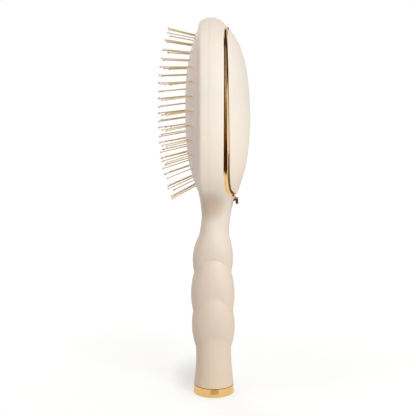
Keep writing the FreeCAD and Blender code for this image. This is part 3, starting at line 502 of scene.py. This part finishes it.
def cushion_form():
    """The skin from the flange's inner edge to the crown, with the collars."""
    form = bmesh.new()
    bmesh.ops.create_circle(form, cap_ends=False, radius=1.0, segments=SPOKES)
    ring = list(form.verts)
    edges = list(form.edges)
    angles = [math.atan2(vert.co.y, vert.co.x) for vert in ring]
    for angle, vert in zip(angles, ring):
        vert.co = skirt_place(angle, *SKIRT[0])
    steps = [(skirt_place, row) for row in SKIRT[1:]]
    for number in range(RINGS, 0, -1):
        steps.append((dome_place, (math.sin(math.pi / 2 * number / RINGS) ** RING_POWER,)))
    for place, values in steps:
        ring, edges = next_ring(form, ring, edges)
        for angle, vert in zip(angles, ring):
            vert.co = place(angle, *values)
    bmesh.ops.pointmerge(form, verts=ring, merge_co=dome_point(0.0, PAD_CENTRE))
    collar = turned(COLLAR_PROFILE, COLLAR_SIDES)
    for zone in ZONES:
        for ball, axis in pins[zone]:
            stamp(form, collar, foot_on_dome(ball, axis), axis)
    return form


cushion = new_piece("cushion_skin", cushion_form(), "cushion", 50.0, ["cushion_pad"])
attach(cushion, "handle")
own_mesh(cushion)

# Pin tips: a drop of lacquer with a short neck on each wire
BALL = 0.72
NECK_PROFILE = [(-1.25, 0.33), (-1.05, 0.36), (-0.85, 0.44)]
BALL_START = 48
BALL_STEP = 12
DROP_SIDES = 14


def drop_profile():
    """The neck, then the ball's arc from the neck to its end."""
    profile = list(NECK_PROFILE)
    for angle in range(BALL_START, 180, BALL_STEP):
        turn = math.radians(angle)
        profile.append((-BALL * math.cos(turn), BALL * math.sin(turn)))
    profile.append((BALL, 0.0))
    return profile


DROP = turned(drop_profile(), DROP_SIDES)
for zone in ZONES:
    drops = bmesh.new()
    for ball, axis in pins[zone]:
        stamp(drops, DROP, ball, axis)
    piece = new_piece("pin_drops_" + zone, drops, "pin_tip", 80.0, ["tips_" + zone])
    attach(piece, "pins_" + zone)

# Trim ring: a polished cambered bead over the ring's band, from beside the latch to beside the hinge.
FRONT_FOOT = [
    (18.00, 124.90),
    (13.61, 126.32),
    (10.30, 127.60),
    (7.50, 130.34),
    (6.44, 134.18),
    (5.75, 139.49),
    (5.40, 146.88),
]
FRONT_HEAD = [(5.40, 215.03), (5.59, 223.01), (6.30, 227.64), (7.35, 230.39), (9.50, 233.58)]
BACK_FOOT = [
    (18.00, 126.60),
    (14.41, 127.91),
    (12.21, 129.16),
    (10.66, 131.02),
    (9.59, 134.30),
    (9.06, 139.49),
    (8.75, 146.88),
]
BACK_HEAD = [(7.50, 215.03), (7.59, 224.49), (8.10, 227.24), (8.88, 229.59), (10.66, 232.65)]
STRAIGHT_SPANS = 3
BEAD_INSET = 0.03
BEAD_HEIGHT = 0.50 * MM
BEAD_HEIGHT_SHARE = 0.16
BEAD_CAMBER_POWER = 2.2
BEAD_SUNK = 0.06 * MM
BEAD_OVERHANG = 1.4
BEAD_ACROSS = 10
BEAD_STEPS = 150
BEAD_RISE = 24.0
BEAD_ENDS = (4.4 * MM, 6.6 * MM)
SIDE_RAYS = 1200
SIDE_RAY_START = 100.0 * MM
NEAREST_MIDDLE = 0.5 * MM
LONGEST_STEP = 4.0 * MM
SMOOTHINGS = 10
SHORTEST = 1e-9


def band_line(foot, head):
    """One side line of the band as (y, z) in mm: its foot, its straight stretch and its head."""
    start = foot[-1]
    end = head[0]
    straight = []
    for number in range(1, STRAIGHT_SPANS):
        share = number / STRAIGHT_SPANS
        straight.append((start[0] + share * (end[0] - start[0]), start[1] + share * (end[1] - start[1])))
    return foot + straight + head


RING_FRONT = band_line(FRONT_FOOT, FRONT_HEAD)
RING_BACK = band_line(BACK_FOOT, BACK_HEAD)


def along_line(points, part):
    """A point on a smooth line through side-view points, by the number of its span and share."""
    span = min(int(part), len(points) - 2)
    share = part - span
    before = points[max(span - 1, 0)]
    low = points[span]
    high = points[span + 1]
    after = points[min(span + 2, len(points) - 1)]
    result = []
    for axis in (0, 1):
        slope_low = (high[axis] - before[axis]) / 2
        slope_high = (after[axis] - low[axis]) / 2
        rise = high[axis] - low[axis]
        result.append(
            low[axis]
            + share * slope_low
            + share**2 * (3 * rise - 2 * slope_low - slope_high)
            + share**3 * (slope_low + slope_high - 2 * rise)
        )
    return result


def side_hit(tree, part, across):
    """Where a side ray meets the ring, at a place along it and across it."""
    front = along_line(RING_FRONT, part)
    back = along_line(RING_BACK, part)
    y = (front[0] + across * (back[0] - front[0])) * MM
    z = (front[1] + across * (back[1] - front[1])) * MM
    return tree.ray_cast(Vector((SIDE_RAY_START, y, z)), Vector((-1.0, 0.0, 0.0)))[0]


def ring_samples(tree, across):
    """Many points along the ring's face at a place across it, between the bead's ends."""
    spans = len(RING_FRONT) - 1
    samples = []
    for step in range(SIDE_RAYS + 1):
        hit = side_hit(tree, spans * step / SIDE_RAYS, across)
        if hit is None or hit.x <= NEAREST_MIDDLE:
            continue
        if samples and (hit - samples[-1]).length > LONGEST_STEP:
            continue
        samples.append(hit)
    low = next(k for k, point in enumerate(samples) if point.x > BEAD_ENDS[0])
    high = max(k for k, point in enumerate(samples) if point.x > BEAD_ENDS[1])
    return samples[low:high + 1]


def even_row(samples):
    """The same line with evenly spaced points, smoothed."""
    travel = [0.0]
    for one, two in zip(samples, samples[1:]):
        travel.append(travel[-1] + (two - one).length)
    row = []
    at = 0
    for step in range(BEAD_STEPS + 1):
        goal = travel[-1] * step / BEAD_STEPS
        while at < len(travel) - 2 and travel[at + 1] < goal:
            at += 1
        length = max(travel[at + 1] - travel[at], SHORTEST)
        row.append(samples[at].lerp(samples[at + 1], min((goal - travel[at]) / length, 1.0)))
    for _ in range(SMOOTHINGS):
        inner = [(a + b * 2 + c) / 4 for a, b, c in zip(row, row[1:], row[2:])]
        row = [row[0]] + inner + [row[-1]]
    return row


def ring_rows():
    """The bead's rows on the ring's face, one list of points for each place across it."""
    ring_form = bmesh.new()
    ring_form.from_mesh(nodes["trim_ring"].data)
    tree = BVHTree.FromBMesh(ring_form)
    ring_form.free()
    rows = []
    for number in range(BEAD_ACROSS):
        across = BEAD_INSET + (1 - 2 * BEAD_INSET) * number / BEAD_ACROSS
        rows.append(even_row(ring_samples(tree, across)))
    rows.append([last + (last - inner) * BEAD_OVERHANG for last, inner in zip(rows[-1], rows[-2])])
    return rows


def bead_section(rows, step):
    """The bead's closed outline at one step along it: its cambered face and its sunk back."""
    before = max(step - 1, 0)
    after = min(step + 1, BEAD_STEPS)
    fade = min(1.0, BEAD_RISE * min(step, BEAD_STEPS - step) / BEAD_STEPS)
    fade = fade * fade * (3 - 2 * fade)
    width = (rows[-1][step] - rows[0][step]).length
    full_height = fade * min(BEAD_HEIGHT, BEAD_HEIGHT_SHARE * width)
    face = []
    back = []
    for number, row in enumerate(rows):
        forward = row[after] - row[before]
        sideways = rows[min(number + 1, BEAD_ACROSS)][step] - rows[max(number - 1, 0)][step]
        outward = sideways.cross(forward).normalized()
        if outward.x < 0:
            outward = -outward
        across = 2 * number / BEAD_ACROSS - 1
        face.append(row[step] + outward * full_height * (1 - abs(across) ** BEAD_CAMBER_POWER))
        if number in (0, BEAD_ACROSS):
            back.append(row[step] - outward * BEAD_SUNK)
    return face + back[::-1]


def bead_form():
    """The bead on one side of the ring, and its mirror image on the other."""
    rows = ring_rows()
    form = bmesh.new()
    loops = []
    for step in range(BEAD_STEPS + 1):
        loop = [form.verts.new(point) for point in bead_section(rows, step)]
        loops.append([form.edges.new(pair) for pair in zip(loop, loop[1:] + loop[:1])])
    for low, high in zip(loops, loops[1:]):
        bmesh.ops.bridge_loops(form, edges=low + high)
    bmesh.ops.holes_fill(form, edges=loops[0] + loops[-1], sides=0)
    whole = form.verts[:] + form.edges[:] + form.faces[:]
    bmesh.ops.mirror(form, geom=whole, axis="X", merge_dist=0.0)
    return form


bead = new_piece("ring_bead", bead_form(), "gold", 40.0)
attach(bead, "handle")

# Latch spring: the construction's coil again, as a piece of its own
SPRING_WIRE = 0.13 * MM
SPRING_COIL = 0.62 * MM
SPRING_PITCH = 0.7 * MM
TURN_STEPS = 24
WIRE_SIDES = 10
spring_points = [vert.co for vert in nodes["latch_spring"].data.vertices]
spring_foot = min(point.z for point in spring_points)
spring_top = max(point.z for point in spring_points)
spring_y = (min(point.y for point in spring_points) + max(point.y for point in spring_points)) / 2


def coil_form():
    """The coil from its foot to its top, round its own middle line."""
    turns = (spring_top - spring_foot - 2 * SPRING_WIRE) / SPRING_PITCH
    steps = round(turns * TURN_STEPS)
    form = bmesh.new()
    section = Matrix.Translation((SPRING_COIL, spring_y, spring_foot + SPRING_WIRE))
    section = section @ Matrix.Rotation(math.radians(90.0), 4, "X")
    bmesh.ops.create_circle(form, segments=WIRE_SIDES, radius=SPRING_WIRE, matrix=section)
    bmesh.ops.spin(
        form,
        geom=form.verts[:] + form.edges[:],
        cent=(0.0, spring_y, 0.0),
        axis=(0.0, 0.0, 1.0),
        dvec=(0.0, 0.0, SPRING_PITCH * turns / steps),
        angle=math.radians(360.0) * turns,
        steps=steps,
    )
    bmesh.ops.holes_fill(form, edges=form.edges[:], sides=0)
    return form


spring = new_piece("latch_coil", coil_form(), "spring_steel", 60.0, ["latch_spring"])
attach(spring, "handle")
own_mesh(spring)


# Stage
def stage_plane(name, size, place):
    """A square that isn't part of the object."""
    mesh = bmesh.new()
    bmesh.ops.create_grid(mesh, x_segments=2, y_segments=2, size=size / 2)
    data = bpy.data.meshes.new(name)
    mesh.to_mesh(data)
    mesh.free()
    obj = bpy.data.objects.new(name, data)
    scene.collection.objects.link(obj)
    obj.location = place
    return obj


def showing(tree):
    """One where a camera, mirror or glass ray looks, else zero."""
    ray = tree.add("ShaderNodeLightPath")
    seen = tree.math("MAXIMUM", ray.outputs["Is Camera Ray"], ray.outputs["Is Glossy Ray"])
    return tree.math("MAXIMUM", seen, ray.outputs["Is Transmission Ray"])


# Floor: pale, with a glow that rises until it meets the white background, and a shade behind the foot
FLOOR_SIZE = 12000.0 * MM
FLOOR_SHADE = (0.46, 0.49, 0.51, 1.0)
FLOOR_REACH = (100.0 * MM, 900.0 * MM)
FLOOR_GLOW = (0.56, 0.75)
SHADOW_AT = (-33.0 * MM, -11.0 * MM)
SHADOW_REACH = (56.0 * MM, 21.0 * MM)
SHADOW_DEPTH = 0.36


def floor_material():
    """The floor's pale shade with its glow and the shade behind the foot."""
    look, tree, shader, place = material("floor_white")
    shader.inputs["Base Color"].default_value = FLOOR_SHADE
    shader.inputs["Roughness"].default_value = 1.0
    shader.inputs["Specular IOR Level"].default_value = 0.0
    far = tree.add("ShaderNodeVectorMath", {0: place}, operation="LENGTH").outputs["Value"]
    split = tree.add("ShaderNodeSeparateXYZ", {0: place})
    shade = tree.spot((split.outputs[0], split.outputs[1]), SHADOW_AT, SHADOW_REACH)
    shade = tree.math("MULTIPLY", tree.math("MULTIPLY", shade, shade), SHADOW_DEPTH)
    level = tree.math("MULTIPLY", tree.span(far, FLOOR_REACH, FLOOR_GLOW), tree.math("SUBTRACT", 1.0, shade))
    strength = tree.math("MULTIPLY", showing(tree), level)
    glow = tree.add("ShaderNodeEmission", {"Color": grey(1.0), "Strength": strength})
    both = tree.add("ShaderNodeAddShader", {0: shader.outputs[0], 1: glow.outputs[0]})
    tree.feed(look.node_tree.nodes["Material Output"].inputs[0], both.outputs[0])
    return look


floor = stage_plane("floor", FLOOR_SIZE, (0.0, 0.0, 0.0))
floor.data.materials.append(floor_material())

# Sky: white where it is looked at, and a soft warm light, stronger on one side, for the rest
SKY_LEVEL = 0.62
SKY_LEAN = (0.24, 0.04)
SKY_TINT = (1.0, 0.90, 0.83, 1.0)
world = bpy.data.worlds.new("studio")
scene.world = world
world.use_nodes = True
sky = Tree(world.node_tree)
way = sky.add("ShaderNodeSeparateXYZ", {0: sky.add("ShaderNodeTexCoord").outputs["Generated"]})
lean_side = sky.math("MULTIPLY", way.outputs[1], SKY_LEAN[0])
lean_up = sky.math("MULTIPLY", way.outputs[2], SKY_LEAN[1])
soft = sky.math("MULTIPLY", sky.math("ADD", sky.math("ADD", lean_side, lean_up), 1.0), SKY_LEVEL)
shown = showing(sky)
strength = sky.math("ADD", sky.math("MULTIPLY", sky.math("SUBTRACT", 1.0, shown), soft), shown)
ground = world.node_tree.nodes["Background"]
sky.feed(ground.inputs["Color"], sky.mix(shown, SKY_TINT, grey(1.0)))
sky.feed(ground.inputs["Strength"], strength)


# Lamps, with places and sizes in metres
def area_light(name, place, aim, size, power, colour=(1.0, 1.0, 1.0)):
    """A soft square lamp that points at a place."""
    data = bpy.data.lights.new(name, "AREA")
    data.shape = "SQUARE"
    data.size = size
    data.energy = power
    data.color = colour
    obj = bpy.data.objects.new(name, data)
    scene.collection.objects.link(obj)
    obj.location = place
    obj.rotation_euler = (Vector(aim) - Vector(place)).to_track_quat("-Z", "Y").to_euler()
    obj.visible_camera = False


area_light(
    "key", place=(0.95, 0.62, 0.43), aim=(0.0, 0.0, 0.15), size=0.70, power=8.1, colour=(0.97, 1.0, 1.02)
)
area_light(
    "pin_fill", place=(0.3, -0.6, 0.3), aim=(0.0, 0.0, 0.19), size=0.3, power=0.6, colour=(1.0, 0.93, 0.87)
)
area_light("far_fill", place=(-0.6, -0.25, 0.45), aim=(0.0, 0.0, 0.13), size=0.5, power=1.2)
area_light("top", place=(0.12, -0.16, 0.75), aim=(0.0, -0.01, 0.15), size=0.12, power=0.12)

# Cards that only polished metal sees, with places and sizes in metres
CARD_AIM = Vector((0.0, 0.007, 0.175))
FLAG_TINT = (1.0, 0.42, 0.18)


def card(name, place, size, level, tint):
    """A glowing rectangle that shows in reflections alone."""
    obj = stage_plane(name, 1.0, place)
    obj.scale = (size[0], size[1], 1.0)
    look = bpy.data.materials.new(name + "_grey")
    look.use_nodes = True
    tree = Tree(look.node_tree)
    shown_tint = (level * tint[0], level * tint[1], level * tint[2], 1.0)
    sheen = tree.add("ShaderNodeEmission", {"Color": shown_tint, "Strength": 1.0})
    tree.feed(look.node_tree.nodes["Material Output"].inputs[0], sheen.outputs[0])
    obj.data.materials.append(look)
    obj.visible_camera = False
    obj.visible_diffuse = False
    obj.visible_transmission = False
    obj.visible_volume_scatter = False
    obj.visible_shadow = False
    return obj


def reflected_card(name, azimuth, elevation, reach, size, level, tint=FLAG_TINT, roll=0.0):
    """A card that faces the head from a direction: azimuth from +X towards +Y."""
    flat = math.radians(azimuth)
    lift = math.radians(elevation)
    way = Vector((math.cos(lift) * math.cos(flat), math.cos(lift) * math.sin(flat), math.sin(lift)))
    obj = card(name, CARD_AIM + way * reach, size, level, tint)
    turn = (-way).to_track_quat("Z", "Y") @ Quaternion((0.0, 0.0, 1.0), math.radians(roll))
    obj.rotation_euler = turn.to_euler()


reflected_card("side_flag", 30.0, 8.0, reach=0.30, size=(0.42, 0.42), level=0.065)
reflected_card("front_flag", -20.0, 8.0, reach=0.30, size=(0.34, 0.42), level=0.10)
reflected_card("upper_flag", 100.0, 48.0, reach=0.30, size=(0.46, 0.46), level=0.06)
reflected_card(
    "streak", 52.0, 30.0, reach=0.24, size=(0.045, 0.26), level=1.15, tint=(1.0, 1.0, 1.03), roll=36.0
)
reflected_card("top_flag", 25.0, 64.0, reach=0.30, size=(0.40, 0.30), level=0.05)
reflected_card("foot_flag", 118.0, -34.0, reach=0.20, size=(0.14, 0.10), level=0.22, tint=(1.0, 0.6, 0.36))
reflected_card("low_flag", 20.0, -42.0, reach=0.19, size=(0.40, 0.15), level=0.045)

# The cap's dark patch: a card that lies before the foot and widens away from it
CAP_CARD_PLACE = (0.034, 0.0015, 0.0006)
CAP_CARD_SIZE = (0.030, 0.013)
CAP_CARD_WIDTHS = (1.6, 1.2)
cap_card = card("cap_card", CAP_CARD_PLACE, CAP_CARD_SIZE, level=0.66, tint=(1.0, 0.84, 0.75))
for vertex in cap_card.data.vertices:
    vertex.co.y *= CAP_CARD_WIDTHS[0] + CAP_CARD_WIDTHS[1] * vertex.co.x

# Camera: where the photograph was taken from, tilted down by an angle in degrees
CAMERA_PLACE = (0.525, -0.0037, 0.19095)
CAMERA_TILT = 7.8374
CAMERA_LENS = 73.56
CAMERA_SENSOR = 36.0
CAMERA_NEAREST = 0.01
camera_data = bpy.data.cameras.new("camera")
camera_data.lens = CAMERA_LENS
camera_data.sensor_width = CAMERA_SENSOR
camera_data.clip_start = CAMERA_NEAREST
camera = bpy.data.objects.new("camera", camera_data)
scene.collection.objects.link(camera)
tilt = math.radians(CAMERA_TILT)
ahead = Vector((-math.cos(tilt), 0.0, -math.sin(tilt)))
above = Vector((-math.sin(tilt), 0.0, math.cos(tilt)))
turn = Matrix((ahead.cross(above), above, -ahead)).transposed().to_4x4()
camera.matrix_world = Matrix.Translation(CAMERA_PLACE) @ turn
scene.camera = camera
scene.view_settings.view_transform = "Standard"
